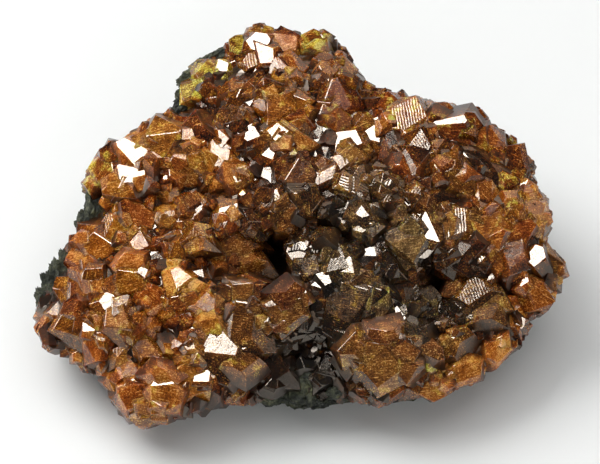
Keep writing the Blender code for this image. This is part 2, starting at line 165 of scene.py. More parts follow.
# The named crystals, which can be told apart: x, y, half width, half height, turn in degrees,
# where the broad face looks (degrees to the right, degrees up).
KEY_CRYSTALS = [
    (157, 140, 28, 21, 15, -6, 10), (101, 168, 31, 20, 58, -24, 12),
    (137, 152, 10, 12, 20, 0, 20), (135, 174, 17, 9, 8, -4, 26),
    (123, 214, 15, 13, 12, -16, 4), (142, 215, 8, 15, -8, 12, 20),
    (190, 83, 12, 15, 20, -24, 16), (205, 68, 9, 9, 30, -16, 24),
    (243, 40, 11, 10, 10, -10, 34), (261, 33, 12, 11, 0, 2, 36),
    (284, 39, 11, 11, 25, 6, 24), (314, 38, 15, 10, 6, 4, 34),
    (337, 46, 11, 11, 30, 4, 20), (347, 60, 10, 18, -6, 26, 10),
    (265, 53, 10, 11, 12, 0, 20), (277, 107, 11, 14, -10, -6, 12),
    (339, 101, 14, 17, 12, 6, 22), (407, 113, 25, 19, 8, 4, 26),
    (440, 116, 17, 12, 10, 2, 20), (417, 148, 14, 12, 32, 0, 20),
    (347, 139, 12, 11, 20, -4, 22), (351, 156, 8, 7, 40, 6, 20),
    (303, 172, 11, 12, 12, 4, 18), (327, 175, 8, 8, 25, 0, 20),
    (470, 131, 22, 24, 2, 0, -8), (491, 138, 8, 13, -6, 8, 22),
    (516, 158, 13, 16, -24, 14, 20), (537, 210, 19, 20, 10, 22, 10),
    (459, 221, 9, 23, 4, 0, 20), (425, 230, 9, 14, -10, -4, 22),
    (492, 225, 15, 12, 12, 4, 20), (412, 247, 8, 14, 6, 10, -4),
    (512, 249, 14, 12, -14, 2, 22), (553, 270, 14, 21, 6, 22, -4),
    (541, 296, 15, 17, -30, 20, -6), (476, 287, 13, 13, 20, 0, 20),
    (310, 264, 11, 15, -8, -12, 18), (285, 313, 22, 17, 8, 2, -10),
    (243, 322, 12, 24, -6, -8, 8), (222, 343, 19, 11, -20, -2, 20),
    (166, 350, 12, 9, 10, 0, 20), (147, 348, 10, 9, 0, -4, 16),
    (74, 322, 19, 18, 30, -20, 8), (119, 315, 13, 12, 12, -6, 16),
    (181, 277, 8, 14, -12, 0, 20), (208, 303, 14, 9, 16, 0, 18),
    (133, 399, 19, 16, 10, -14, -6), (162, 401, 18, 17, -12, 2, -8),
    (150, 417, 16, 11, 4, -2, -24), (186, 396, 15, 14, 18, 8, -6),
    (132, 388, 12, 9, 8, -4, 20), (204, 379, 9, 10, 20, 0, 20),
    (267, 365, 16, 21, 8, -4, 2), (328, 365, 12, 8, 10, 0, 18),
    (347, 305, 14, 22, -12, -4, 14), (384, 374, 30, 24, 6, 0, -6),
    (378, 350, 14, 11, 8, 0, 20), (430, 362, 8, 15, 4, -6, 16),
    (433, 389, 19, 11, 8, 0, -22), (468, 373, 21, 15, 24, 12, -14),
    (499, 352, 20, 15, 34, 18, -10), (97, 247, 16, 14, 14, -14, 6),
    (131, 281, 17, 15, 20, -6, 4), (545, 240, 10, 9, 0, 20, 8),
]

# Places where the host rock comes up to the surface: x, y, half width, half height, in pixels.
MATRIX_KNOBS = [
    (98, 206, 23, 21), (60, 288, 22, 25), (188, 108, 24, 19), (262, 392, 27, 24),
    (304, 391, 36, 30), (342, 393, 24, 20), (216, 66, 22, 17),
]

# Deep hollows between the crystals: x, y, half width, half height.
HOLLOWS = [(275, 253, 10, 38), (441, 286, 9, 17), (335, 232, 7, 12), (300, 372, 10, 14), (262, 290, 8, 20)]

# Points of host rock that come through the crust: x, y, size.
CRAGS = [
    (95, 205, 12), (90, 216, 12), (83, 226, 9), (66, 264, 8), (57, 276, 9), (49, 288, 9), (42, 301, 8),
    (174, 106, 9), (182, 88, 9), (187, 72, 8), (200, 58, 9), (216, 50, 8), (228, 42, 7), (377, 89, 6),
    (288, 398, 7), (320, 402, 8),
]


def rim_radius(angle):
    """Distance from the middle to the outline in the direction of angle, in pixels."""
    ray = (math.cos(angle), math.sin(angle))
    best = 0.0
    count = len(OUTLINE)
    for i in range(count):
        ax, ay = OUTLINE[i][0] - CENTRE[0], CENTRE[1] - OUTLINE[i][1]
        bx, by = OUTLINE[(i + 1) % count][0] - CENTRE[0], CENTRE[1] - OUTLINE[(i + 1) % count][1]
        ex, ey = bx - ax, by - ay
        det = ray[0] * ey - ray[1] * ex
        if abs(det) < 1e-9:
            continue
        along = (ax * ey - ay * ex) / det
        part = (ax * ray[1] - ay * ray[0]) / det
        if along > 0 and -1e-6 <= part <= 1 + 1e-6:
            best = max(best, along)
    return best


# The outline's radius at every whole degree.
RIM = [rim_radius(math.radians(a)) for a in range(360)]


def rim_at(u, v):
    """Outline radius in the direction of u, v, between two whole degrees."""
    a = math.degrees(math.atan2(v, u)) % 360
    low = int(a) % 360
    return RIM[low] + (RIM[(low + 1) % 360] - RIM[low]) * (a - int(a))


def face_height(u, v):
    """Height of the crust's face toward the lens over u, v, without its crystals."""
    share = min(1.0, math.hypot(u, v) / max(1.0, rim_at(u, v)))
    w = -FACE_LEAN * v + DOME * (1 - share * share) ** DOME_ROUND
    for x, y, spread, height in RELIEF:
        du, dv = u - (x - CENTRE[0]), v - (CENTRE[1] - y)
        w += height * math.exp(-(du * du + dv * dv) / (2 * spread * spread))
    return w


def face_normal(u, v):
    """Outward direction of the face at u, v, in the plane of the photograph."""
    step = 6.0
    du = (face_height(u + step, v) - face_height(u - step, v)) / (2 * step)
    dv = (face_height(u, v + step) - face_height(u, v - step)) / (2 * step)
    return Vector((-du, -dv, 1.0)).normalized()


KNOB_SHOWS = 0.8      # share of a knob's area in which its rock shows


def near_matrix(u, v):
    """Whether the host rock shows at u, v."""
    for x, y, half_x, half_y in MATRIX_KNOBS:
        if ((u - x + CENTRE[0]) / half_x) ** 2 + ((v - CENTRE[1] + y) / half_y) ** 2 < KNOB_SHOWS:
            return True
    return False


def facing(right, up):
    """Direction in the photograph's frame that looks the given degrees right and up."""
    a, b = math.radians(right), math.radians(up)
    return Vector((math.sin(a) * math.cos(b), math.sin(b), math.cos(a) * math.cos(b)))


TURN_SCALE = 0.009    # the direction of growth changes over about 100 pixels


def grain_turn(u, v):
    """How far a crystal at u, v is turned: those near each other grew in nearly the same direction."""
    return math.tau * noise.noise(Vector((u * TURN_SCALE, v * TURN_SCALE, 4.0)))


def slice_off(bm, point, normal):
    """Cut the closed bmesh with a plane, drop what lies beyond it and cap the cut."""
    geometry = bm.verts[:] + bm.edges[:] + bm.faces[:]
    cut = bmesh.ops.bisect_plane(bm, geom=geometry, plane_co=point, plane_no=normal, clear_outer=True,
                                 dist=1e-7)
    edges = [g for g in cut["geom_cut"] if isinstance(g, bmesh.types.BMEdge)]
    if edges:
        bmesh.ops.edgenet_fill(bm, edges=edges)


STEEP = (66, 84)      # lean of a crystal's side faces, in degrees
SLOPING = (24, 50)    # lean of the faces around its flat top


def crystal_form(half_x, half_y, top, sides, depth, rng):
    """One crystal in pixels: a flat face at z = 0, sloping faces around it and steep sides down to -depth.

    top is the flat face's share of the crystal's width.
    """
    bm = bmesh.new()
    bmesh.ops.create_cube(bm, size=2.0)
    bmesh.ops.scale(bm, vec=(1.7 * half_x, 1.7 * half_y, depth / 2), verts=bm.verts)
    bmesh.ops.translate(bm, vec=(0, 0, -depth / 2), verts=bm.verts)
    start = rng.uniform(0, math.tau)
    for i in range(sides):
        turn = start + (i + rng.uniform(-0.22, 0.22)) * math.tau / sides
        cut_face(bm, turn, rng.uniform(*STEEP), half_x, half_y, -0.3 * min(half_x, half_y))
    slopes = rng.choice((3, 4, 4))
    start = rng.uniform(0, math.tau)
    for i in range(slopes):
        turn = start + (i + rng.uniform(-0.25, 0.25)) * math.tau / slopes
        share = top * rng.uniform(0.75, 1.2)
        cut_face(bm, turn, rng.uniform(*SLOPING), half_x * share, half_y * share, 0.0)
    return bm


def cut_face(bm, turn, lean, reach_x, reach_y, height):
    """Cut one flat face: it looks toward turn, leans out by lean degrees and passes the reach."""
    side = math.sin(math.radians(lean))
    normal = Vector((math.cos(turn) * side, math.sin(turn) * side, math.cos(math.radians(lean))))
    slice_off(bm, Vector((reach_x * math.cos(turn), reach_y * math.sin(turn), height)), normal)


BIG = 14              # half width, in pixels, over which a named crystal is widened less under its face
RIM_SIZES = (12, 18)  # half widths of the rim's crystals
BEHIND_RIM = 16       # how far the side's crystals stand in from the outline
NEAR_NAMED = 13       # least distance of a rim crystal from the named ones
FILL_SIZES = ((18, 22, 27), (13, 15, 18))     # the large ones of the fill come first, then smaller ones
LARGE_TRIES = 1500
FILL_TRIES = 6000
CROWDING = 0.58       # least distance between two crystals, as a share of the sum of their half widths


def crystal_plan():
    """Every large crystal: the named ones, the rim, the side under the rim, then the fill of the face.

    Each is u, v, w, half width, half height, share of the flat face, turn, direction it looks.
    """
    rng = random.Random(SEED)
    plan = []
    for x, y, half_x, half_y, turn, right, up in KEY_CRYSTALS:
        u, v = x - CENTRE[0], CENTRE[1] - y
        big = min(half_x, half_y) > BIG
        body_x, body_y = (half_x * 1.2, half_y * 1.2) if big else (half_x * 1.5 + 5, half_y * 1.5 + 5)
        room = rim_at(u, v) - math.hypot(u, v)
        body_x, body_y = min(body_x, room + 5), min(body_y, 0.85 * room + 4)
        top = 0.62 if big else min(0.8, half_x / body_x, half_y / body_y)
        plan.append((u, v, face_height(u, v) + (12.0 if big else 10.0), body_x, body_y, top,
                     math.radians(turn), facing(right, up)))
    named = len(plan)
    count = len(OUTLINE)
    for i in range(count):
        ax, ay = OUTLINE[i]
        bx, by = OUTLINE[(i + 1) % count]
        u, v = (ax + bx) / 2 - CENTRE[0], CENTRE[1] - (ay + by) / 2
        out = Vector((u, v, 0)).normalized()
        size = rng.uniform(*RIM_SIZES)
        if i % 3 == 0:
            low = -FACE_LEAN * v - RIM_DEPTH * rng.uniform(0.35, 0.6)
            down = (out + Vector((0, 0, rng.uniform(-0.35, 0.25)))).normalized()
            plan.append((u - out.x * BEHIND_RIM, v - out.y * BEHIND_RIM, low, size * 1.25, size * 1.1, 0.5,
                         rng.uniform(0, math.tau), down))
        u, v = u - out.x * size * 0.8, v - out.y * size * 0.8
        if near_matrix(u, v) or any(math.hypot(u - p[0], v - p[1]) < NEAR_NAMED for p in plan[:named]):
            continue
        normal = (out * rng.uniform(0.15, 0.75) + Vector((0, 0.1, 1))).normalized()
        plan.append((u, v, face_height(u, v) + 4, size, size * rng.uniform(0.7, 1.0),
                     rng.uniform(0.35, 0.6), rng.uniform(0, math.tau), normal))
    tries = 0
    while tries < FILL_TRIES and len(plan) < CRYSTALS:
        tries += 1
        angle, reach = rng.uniform(0, math.tau), math.sqrt(rng.random()) * 0.92
        radius = rim_at(math.cos(angle), math.sin(angle)) * reach
        u, v = radius * math.cos(angle), radius * math.sin(angle)
        size = rng.choice(FILL_SIZES[0] if tries < LARGE_TRIES else FILL_SIZES[1])
        near = min(math.hypot(u - p[0], v - p[1]) - CROWDING * (size + min(p[3], p[4])) for p in plan)
        if near < 0 or near_matrix(u, v):
            continue
        normal = face_normal(u, v)
        normal = (normal + Vector((rng.gauss(0, 0.2), rng.gauss(0, 0.2) + 0.08, 0.35))).normalized()
        plan.append((u, v, face_height(u, v) + rng.uniform(5.0, 12.0), size, size * rng.uniform(0.65, 0.95),
                     rng.uniform(0.25, 0.65), grain_turn(u, v) + rng.gauss(0, 0.3), normal))
    return plan


CRAG_COVERS = 0.85    # share of a crag's size within which no crystal stands


def on_crag(u, v):
    """Whether u, v lies on a point of the host rock."""
    for x, y, size in CRAGS:
        if math.hypot(u - x + CENTRE[0], v - CENTRE[1] + y) < CRAG_COVERS * size:
            return True
    return False


def in_hollow(u, v, margin=0.0):
    """Whether u, v lies in one of the face's deep hollows, or within margin of it."""
    for x, y, half_x, half_y in HOLLOWS:
        across = (u - x + CENTRE[0]) / (half_x + margin)
        along = (v - CENTRE[1] + y) / (half_y + margin)
        if math.hypot(across, along) < 1:
            return True
    return False


def overhang(bm, lift, place, allowed):
    """How far the bmesh, turned by lift and set at place, stands out past the outline."""
    over = 0.0
    for vert in bm.verts:
        point = lift @ vert.co + place
        over = max(over, math.hypot(point.x, point.y) - rim_at(point.x, point.y) - allowed)
    return over


def lowest(bm, lift, place):
    """Height above the sheet of the placed bmesh's lowest corner, in pixels."""
    return min(to_world(*(lift @ vert.co + place)).z for vert in bm.verts) / PIXEL


LARGE_OVERHANG = 3.0  # how far, in pixels, a large crystal may stand out past the outline
FURTHEST_IN = 24.0    # and the most that it is moved in for that
ABOVE_SHEET = 4       # least height of its lowest corner


def set_within(bm, lift, place):
    """The place of a large crystal, moved in to the outline and up from the sheet where it needs to be."""
    way = min(FURTHEST_IN, overhang(bm, lift, place, LARGE_OVERHANG))
    place = place - Vector((place.x, place.y, 0)).normalized() * way
    return place + Vector((0, 0, max(0.0, ABOVE_SHEET - lowest(bm, lift, place))))


GRAIN_SCALE = 0.01    # the growth pattern's length unit is 100 pixels
GRAIN_SHIFT = (37, 91)    # how far the pattern moves from crystal to crystal, by the chance value
DEEP_SHADE = 0.8      # painted shade: how much darker a crystal is at its depth than at its top
EDGE_SHARE = 0.02     # a face smaller than this share of the widest one is a bevelled edge
EDGE_HIGHLIGHT = 0.58    # painted highlight: brightness of such an edge
FACE_BRIGHT = (0.5, 0.2)  # and of the faces: middle and spread
SIDE_FACE = 0.45      # a face that looks up less than this is a side face


class Gather:
    """Collects many small closed meshes in one object.

    Each point carries the crystal's tone (brightness, yellowness, chance, smokiness) and its place along
    the crystal's own axes, and each face has a brightness of its own, with a painted highlight on bevelled
    edges, and is marked if it is a side face.
    """

    def __init__(self, name):
        """Start an empty gathering, whose object will have this name."""
        self.name = name
        self.verts, self.faces, self.tones, self.grains, self.facets = [], [], [], [], []
        self.chance = random.Random(3)

    def add(self, bm, lift, place, tone, depth=None):
        """Add a bmesh made flat, turned by lift and set at place in the photograph's frame.

        With a depth, painted shade darkens it from its top down to there, where crystals crowd together.
        """
        first = len(self.verts)
        for i, vert in enumerate(bm.verts):
            vert.index = i
            self.verts.append(to_world(*(lift @ vert.co + place)))
            moved = Vector((tone[2] * GRAIN_SHIFT[0], tone[2] * GRAIN_SHIFT[1], 0))
            self.grains.append(vert.co * GRAIN_SCALE + moved)
            shade = DEEP_SHADE * min(0.0, vert.co.z) / depth if depth else 0.0
            self.tones.append((max(0.0, tone[0] + shade), *tone[1:]))
        widest = max(face.calc_area() for face in bm.faces)
        for face in bm.faces:
            self.faces.append([first + v.index for v in face.verts])
            edge = face.calc_area() < EDGE_SHARE * widest
            bright = EDGE_HIGHLIGHT if edge else min(1.0, max(0.0, self.chance.gauss(*FACE_BRIGHT)))
            self.facets.append((bright, 1.0 if face.normal.z < SIDE_FACE else 0.0, 0.0, 1.0))
        bm.free()

    def build(self, material):
        """The object made of all that was added."""
        mesh = bpy.data.meshes.new(self.name)
        mesh.from_pydata([tuple(v) for v in self.verts], [], self.faces)
        tone = mesh.attributes.new("tone", "FLOAT_COLOR", "POINT")
        tone.data.foreach_set("color", [c for t in self.tones for c in t])
        grain = mesh.attributes.new("grain", "FLOAT_VECTOR", "POINT")
        grain.data.foreach_set("vector", [c for g in self.grains for c in g])
        facet = mesh.attributes.new("facet", "FLOAT_COLOR", "FACE")
        facet.data.foreach_set("color", [c for f in self.facets for c in f])
        mesh.materials.append(material)
        mesh.update()
        thing = bpy.data.objects.new(self.name, mesh)
        scene.collection.objects.link(thing)
        return thing


# Colour runs in broad areas: x, y, spread, then how much brighter or smokier; the yellow ones are alike.
# Painted shade: the strong darkening over the hollows and round them in the first list.
BRIGHT_AND_SHADED_PLACES = [
    (350, 240, 95, -0.08), (300, 374, 36, -0.42), (440, 288, 24, -0.30), (272, 255, 18, -0.45),
    (120, 260, 80, 0.10), (155, 140, 30, 0.14), (150, 395, 45, 0.12), (290, 70, 50, 0.02),
    (470, 378, 30, 0.26), (385, 385, 22, 0.16), (555, 272, 18, 0.16), (540, 220, 30, 0.10),
    (225, 300, 30, 0.08), (285, 313, 13, 0.30),
    (300, 350, 30, -0.16), (258, 300, 14, -0.22), (322, 318, 14, -0.16), (340, 290, 26, -0.06),
]
YELLOW_PLACES = [
    (88, 172, 11), (192, 84, 8), (205, 68, 6), (244, 38, 6), (316, 34, 7), (342, 96, 4),
    (400, 116, 4), (430, 361, 6), (82, 185, 8), (512, 146, 6), (508, 182, 6), (62, 345, 6), (345, 60, 5),
]
SMOKY_PLACES = [
    (345, 225, 55, 0.75), (305, 372, 42, 0.95), (385, 262, 48, 0.7), (440, 290, 30, 0.6), (250, 250, 22, 0.5),
    (380, 330, 40, 0.45), (90, 215, 16, 0.6), (240, 350, 24, 0.4), (558, 272, 16, 0.5),
]
YELLOW_GAIN = 0.6     # how much yellower a crystal is in the middle of a yellow place
CRUST_BRIGHT = 0.385  # brightness of a crystal where nothing changes it
EVEN_HEIGHT = 6       # height over the face, in pixels, at which that holds: lower ones are darker, as painted shade


def place_sum(places, x, y):
    """What all the soft-edged places add up to at x, y."""
    return sum(gain * math.exp(-((x - at_x) ** 2 + (y - at_y) ** 2) / (2 * size * size))
               for at_x, at_y, size, gain in places)


def crystal_tone(u, v, lift, rng):
    """Brightness, yellowness, a chance value and smokiness of a crystal at u, v.

    lift is how far it stands out of the face: the low ones between the others are darker, as painted shade.
    """
    x, y = u + CENTRE[0], CENTRE[1] - v
    bright = CRUST_BRIGHT + rng.gauss(0, 0.08) + place_sum(BRIGHT_AND_SHADED_PLACES, x, y) + 0.03 * (lift - EVEN_HEIGHT)
    yellow = abs(rng.gauss(0, 0.07)) + place_sum([(*place, YELLOW_GAIN) for place in YELLOW_PLACES], x, y)
    bright += 0.14 * min(1.0, yellow)
    smoke = rng.uniform(-0.1, 0.18) + place_sum(SMOKY_PLACES, x, y)
    return tuple(min(1.0, max(0.0, value)) for value in (bright, yellow, rng.random(), smoke))


def new_material(name):
    """A new node material, its node tree and its Principled shader."""
    mat = bpy.data.materials.new(name)
    mat.use_nodes = True
    tree = mat.node_tree
    shader = tree.nodes["Principled BSDF"]
    return mat, tree, shader


def add_node(tree, kind, **settings):
    """A new node of the given kind with its settings."""
    node = tree.nodes.new(kind)
    for key, value in settings.items():
        setattr(node, key, value)
    return node


def ramp(tree, source, stops):
    """The colours of the stops (place, colour) along source."""
    node = tree.nodes.new("ShaderNodeValToRGB")
    while len(node.color_ramp.elements) < len(stops):
        node.color_ramp.elements.new(0.5)
    for element, (place, colour) in zip(node.color_ramp.elements, stops):
        element.position = place
        element.color = (*colour, 1)
    tree.links.new(source, node.inputs["Fac"])
    return node.outputs["Color"]


def math_node(tree, operation, *values):
    """A Math node on up to three inputs, each a number or another node's output."""
    node = add_node(tree, "ShaderNodeMath", operation=operation)
    for slot, value in zip(node.inputs, values):
        if isinstance(value, (int, float)):
            slot.default_value = value
        else:
            tree.links.new(value, slot)
    return node.outputs["Value"]


def spread(tree, source, low, high, to_low=0.0, to_high=1.0):
    """Map source from low..high to to_low..to_high, held at both ends."""
    node = add_node(tree, "ShaderNodeMapRange")
    tree.links.new(source, node.inputs["Value"])
    for key, value in (("From Min", low), ("From Max", high), ("To Min", to_low), ("To Max", to_high)):
        node.inputs[key].default_value = value
    return node.outputs["Result"]


def grain_noise(tree, vector, scale, detail, roughness=0.5, distortion=0.0):
    """Noise over vector."""
    node = add_node(tree, "ShaderNodeTexNoise")
    node.inputs["Scale"].default_value = scale
    node.inputs["Detail"].default_value = detail
    node.inputs["Roughness"].default_value = roughness
    node.inputs["Distortion"].default_value = distortion
    tree.links.new(vector, node.inputs["Vector"])
    return node.outputs["Fac"]


def mix_colour(tree, factor, first, second):
    """The first colour where factor is 0, the second where it is 1."""
    node = add_node(tree, "ShaderNodeMix", data_type="RGBA")
    for key, source in (("Factor", factor), ("A", first), ("B", second)):
        tree.links.new(source, node.inputs[key])
    return node.outputs["Result"]


def bumped(tree, height, distance, strength, under=None):
    """The normal with height raised on it by distance; under is the normal that it starts from.

    strength, from 0 to 1, is a number or another node's output.
    """
    node = add_node(tree, "ShaderNodeBump")
    node.inputs["Distance"].default_value = distance
    if isinstance(strength, (int, float)):
        node.inputs["Strength"].default_value = strength
    else:
        tree.links.new(strength, node.inputs["Strength"])
    tree.links.new(height, node.inputs["Height"])
    if under is not None:
        tree.links.new(under, node.inputs["Normal"])
    return node.outputs["Normal"]


# Colours from the crystal's dark depth to its brightest veil, then the same for smoky and yellow ones.
AMBER = [
    (0.0, (0.012, 0.0035, 0.001)), (0.3, (0.088, 0.020, 0.0015)), (0.5, (0.215, 0.052, 0.003)),
    (0.74, (0.48, 0.145, 0.008)), (1.0, (0.92, 0.46, 0.10)),
]
SMOKY = [
    (0.0, (0.006, 0.004, 0.003)), (0.3, (0.035, 0.019, 0.008)), (0.5, (0.085, 0.045, 0.016)),
    (0.74, (0.22, 0.12, 0.035)), (1.0, (0.70, 0.45, 0.16)),
]
YELLOW = [
    (0.0, (0.02, 0.010, 0.002)), (0.38, (0.13, 0.050, 0.004)), (0.55, (0.34, 0.19, 0.010)),
    (0.72, (0.70, 0.49, 0.04)), (1.0, (0.98, 0.85, 0.20)),
]
FIBRES = (52, 52, 6)  # fineness of the fibres, which are long along the crystal's axis
HAIRS = (9, 80, 80)   # and of the hairlines, long across its flat face
STRIPED = 0.7         # chance value over which a crystal's faces are striped


def orpiment_material():
    """Resinous amber crystal: dark depths, orange glow, golden fibres along its growth, yellow patches."""
    mat, tree, shader = new_material("orpiment_crystal")
    link = tree.links.new
    tone = add_node(tree, "ShaderNodeAttribute", attribute_name="tone")
    smokiness = tone.outputs["Alpha"]
    parts = add_node(tree, "ShaderNodeSeparateColor")
    link(tone.outputs["Color"], parts.inputs["Color"])
    bright, yellowness, chance = (parts.outputs[key] for key in ("Red", "Green", "Blue"))
    face_tone = add_node(tree, "ShaderNodeAttribute", attribute_name="facet")
    facet = add_node(tree, "ShaderNodeSeparateColor")
    link(face_tone.outputs["Color"], facet.inputs["Color"])
    face_bright, side_face = facet.outputs["Red"], facet.outputs["Green"]
    grain = add_node(tree, "ShaderNodeAttribute", attribute_name="grain").outputs["Vector"]

    # The patterns of its growth.
    stretch = add_node(tree, "ShaderNodeMapping")
    stretch.inputs["Scale"].default_value = FIBRES
    link(grain, stretch.inputs["Vector"])
    fibre = grain_noise(tree, stretch.outputs["Vector"], 1.0, 5, 0.65, 0.6)
    comb = add_node(tree, "ShaderNodeMapping")
    comb.inputs["Scale"].default_value = HAIRS
    link(grain, comb.inputs["Vector"])
    hairs = grain_noise(tree, comb.outputs["Vector"], 1.0, 2, 0.5, 0.4)
    cloud = grain_noise(tree, grain, 8.0, 4)
    fleck = grain_noise(tree, grain, 60.0, 3, 0.65)

    # How light its colour is: darker toward its depth, as painted shade, lighter at its flecks and hairlines.
    glow = math_node(tree, "ADD", bright, spread(tree, fibre, 0.3, 0.7, -0.27, 0.23))
    glow = math_node(tree, "ADD", glow, spread(tree, cloud, 0.3, 0.7, -0.16, 0.16))
    glow = math_node(tree, "ADD", glow, spread(tree, face_bright, 0.0, 1.0, -0.2, 0.2))
    strewn = spread(tree, cloud, 0.38, 0.6, 0.2, 0.8)
    strewn = math_node(tree, "MULTIPLY", spread(tree, fleck, 0.56, 0.67), strewn)
    golden = math_node(tree, "ADD", strewn, spread(tree, hairs, 0.58, 0.7, 0.0, 0.45))
    glow = math_node(tree, "MULTIPLY_ADD", golden, spread(tree, bright, 0.02, 0.25), glow)

    # The colour at that glow, a little redder or yellower from crystal to crystal.
    body = mix_colour(tree, smokiness, ramp(tree, glow, AMBER), ramp(tree, glow, SMOKY))
    patch = math_node(tree, "ADD", yellowness, spread(tree, cloud, 0.35, 0.65, -0.35, 0.35))
    body = mix_colour(tree, spread(tree, patch, 0.35, 0.6), body, ramp(tree, glow, YELLOW))
    varied = add_node(tree, "ShaderNodeHueSaturation")
    link(spread(tree, chance, 0.0, 1.0, 0.488, 0.505), varied.inputs["Hue"])
    link(body, varied.inputs["Color"])
    link(varied.outputs["Color"], shader.inputs["Base Color"])

    # Smooth flat faces, duller side faces, all faintly etched and waved, some striped along their growth.
    smooth = spread(tree, fibre, 0.3, 0.75, 0.04, 0.18)
    link(math_node(tree, "MULTIPLY_ADD", side_face, 0.22, smooth), shader.inputs["Roughness"])
    ridges = add_node(tree, "ShaderNodeTexWave", wave_type="BANDS", bands_direction="X", wave_profile="SIN")
    ridges.inputs["Scale"].default_value = 11.0
    ridges.inputs["Distortion"].default_value = 3.0
    link(grain, ridges.inputs["Vector"])
    striped = math_node(tree, "GREATER_THAN", chance, STRIPED)
    normal = bumped(tree, fibre, 0.00012, 0.07)
    normal = bumped(tree, fleck, 0.000012, 1.0, normal)
    normal = bumped(tree, grain_noise(tree, grain, 9.0, 2), 0.0004, 0.07, normal)
    normal = bumped(tree, ridges.outputs["Fac"], 0.00001, striped, normal)
    link(normal, shader.inputs["Normal"])

    # Light bends strongly in it, and red light travels furthest under its surface.
    shader.inputs["IOR"].default_value = 1.85
    shader.inputs["Specular Tint"].default_value = (1.0, 0.88, 0.75, 1)
    shader.inputs["Subsurface Weight"].default_value = 0.4
    shader.inputs["Subsurface Radius"].default_value = (1.0, 0.35, 0.06)
    shader.inputs["Subsurface Scale"].default_value = 0.002
    shader.inputs["Transmission Weight"].default_value = 0.10
    return mat


orpiment = orpiment_material()

STEP_SIZES = (0.3, 0.68)    # half width of a step, as a share of the large crystal's lesser one
STEP_REACH = 0.9            # how far out on the face it may stand, as a share of its half width
STEP_SLOPE = 0.75           # how much lower it stands for each pixel beyond the flat face
STEP_TILT = 0.18            # spread of its tilt, in radians
STEP_WORN = 0.3             # width of its bevelled edges, in pixels
STEP_RISES = (0.6, 3.2)     # how high its flat face stands over the large one's
STEP_OVERHANG = 4.0         # how far it may stand out past the outline
LOWEST_CORNER = 2           # least height over the sheet
TOO_SMALL = 0.01            # edges shorter than this, in pixels, are closed


def bevelled(bm, width):
    """Bevel every edge of a crystal, and close the edges that this leaves without length."""
    bmesh.ops.bevel(bm, geom=bm.edges[:], offset=width, segments=1, affect="EDGES", clamp_overlap=True)
    bmesh.ops.dissolve_degenerate(bm, dist=TOO_SMALL, edges=bm.edges[:])


def add_step(gather, place, half, top, clear, lift, tone, rng):
    """A smaller crystal that grew on a large one's face in nearly the same direction, a step above it.

    clear is the share of the face, from its middle, that stays free.
    """
    angle, reach = rng.uniform(0, math.tau), clear + (STEP_REACH - clear) * math.sqrt(rng.random())
    x, y = half[0] * reach * math.cos(angle), half[1] * reach * math.sin(angle)
    drop = STEP_SLOPE * max(0.0, reach - top) * min(half)
    size = min(half) * rng.uniform(*STEP_SIZES)
    length = size * rng.uniform(0.8, 1.5)
    bm = crystal_form(length, size, rng.uniform(0.35, 0.8), rng.choice((4, 5)), size + 9, rng)
    bevelled(bm, STEP_WORN)
    tilt = Matrix.Rotation(rng.gauss(0, STEP_TILT), 3, "X")
    tilt = tilt @ Matrix.Rotation(rng.gauss(0, STEP_TILT), 3, "Y")
    spot = place + lift @ Vector((x, y, rng.uniform(*STEP_RISES) - drop))
    outside = overhang(bm, lift @ tilt, spot, STEP_OVERHANG) > 0
    if outside or lowest(bm, lift @ tilt, spot) < LOWEST_CORNER or in_hollow(spot.x, spot.y):
        bm.free()
        return
    bright = min(1.0, max(0.0, tone[0] + rng.gauss(0, 0.07)))
    gather.add(bm, lift @ tilt, spot, (bright, tone[1], rng.random(), tone[3]), 3 * size)


WORN = 0.5            # width of a large crystal's bevelled edges, in pixels
WIDE = 16             # half width over which it is made slimmer and lower than the solid's
SLIMMER = (0.9, 0.9, 1.0)
LOWER = 3
LARGE_STANDS = 9      # height over the crust's face that its painted shade goes by
CLEAR_FACE = 0.6      # share of a named crystal's face that stays free of steps
STEP_ROOM = 130       # square pixels of its size for each further step
plan = crystal_plan()
rng = random.Random(SEED + 1)
tone_rng = random.Random(5)
step_rng = random.Random(9)
large = Gather("large_crystals")
for order, (u, v, w, half_x, half_y, top, turn, normal) in enumerate(plan):
    named = order < len(KEY_CRYSTALS)
    depth = max(half_x, half_y) * 0.8 + 20
    bm = crystal_form(half_x, half_y, top, rng.choice((4, 5, 5)), depth, rng)
    if min(half_x, half_y) > WIDE:
        bmesh.ops.scale(bm, vec=SLIMMER, verts=bm.verts)
        w -= LOWER
    bevelled(bm, WORN)
    lift = Vector((0, 0, 1)).rotation_difference(normal).to_matrix() @ Matrix.Rotation(turn, 3, "Z")
    if not named and (in_hollow(u, v, 0.45 * min(half_x, half_y)) or on_crag(u, v)):
        bm.free()
        continue
    place = set_within(bm, lift, Vector((u, v, w)))
    tone = crystal_tone(place.x, place.y, LARGE_STANDS, tone_rng)
    large.add(bm, lift, place, tone, depth)
    clear = CLEAR_FACE if named else 0.0
    for _ in range(1 + int(half_x * half_y / STEP_ROOM)):
        add_step(large, place, (half_x, half_y), top, clear, lift, tone, step_rng)
large_crystals = large.build(orpiment)
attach(large_crystals, "root")
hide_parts("orpiment_crust")

# The small crystals between them.
# The same mineral, 0.5 to 3 mm, wedges and blocks wherever the large ones left room on the face, and crowded
# down the rim's side, between and under the large ones there.
SMALL_ON_FACE = 480   # tries, some of which fall where no crystal may stand
SMALL_ON_RIM = 1150
SMALL_OVERHANG = 5.0  # how far one may stand out past the outline, in pixels
FACE_INSET = 7        # how far the face's small crystals stay inside the outline
SMALLEST = 3.5        # half width of the face's smallest crystals
LARGER_BY = 8.5       # and how much larger the largest are
SMALL_RIM_SIZES = (4, 9)
NAMED_SMALL = 15      # a named crystal of less than this half width keeps more of its face clear
RIM_STANDS = 5        # height over the crust's face of the highest ones at the rim
RIM_REACH = 0.95      # how far down the rim's side they go, as a share of its thickness
ON_ROCK = 0.3         # share of them left out where the host rock shows


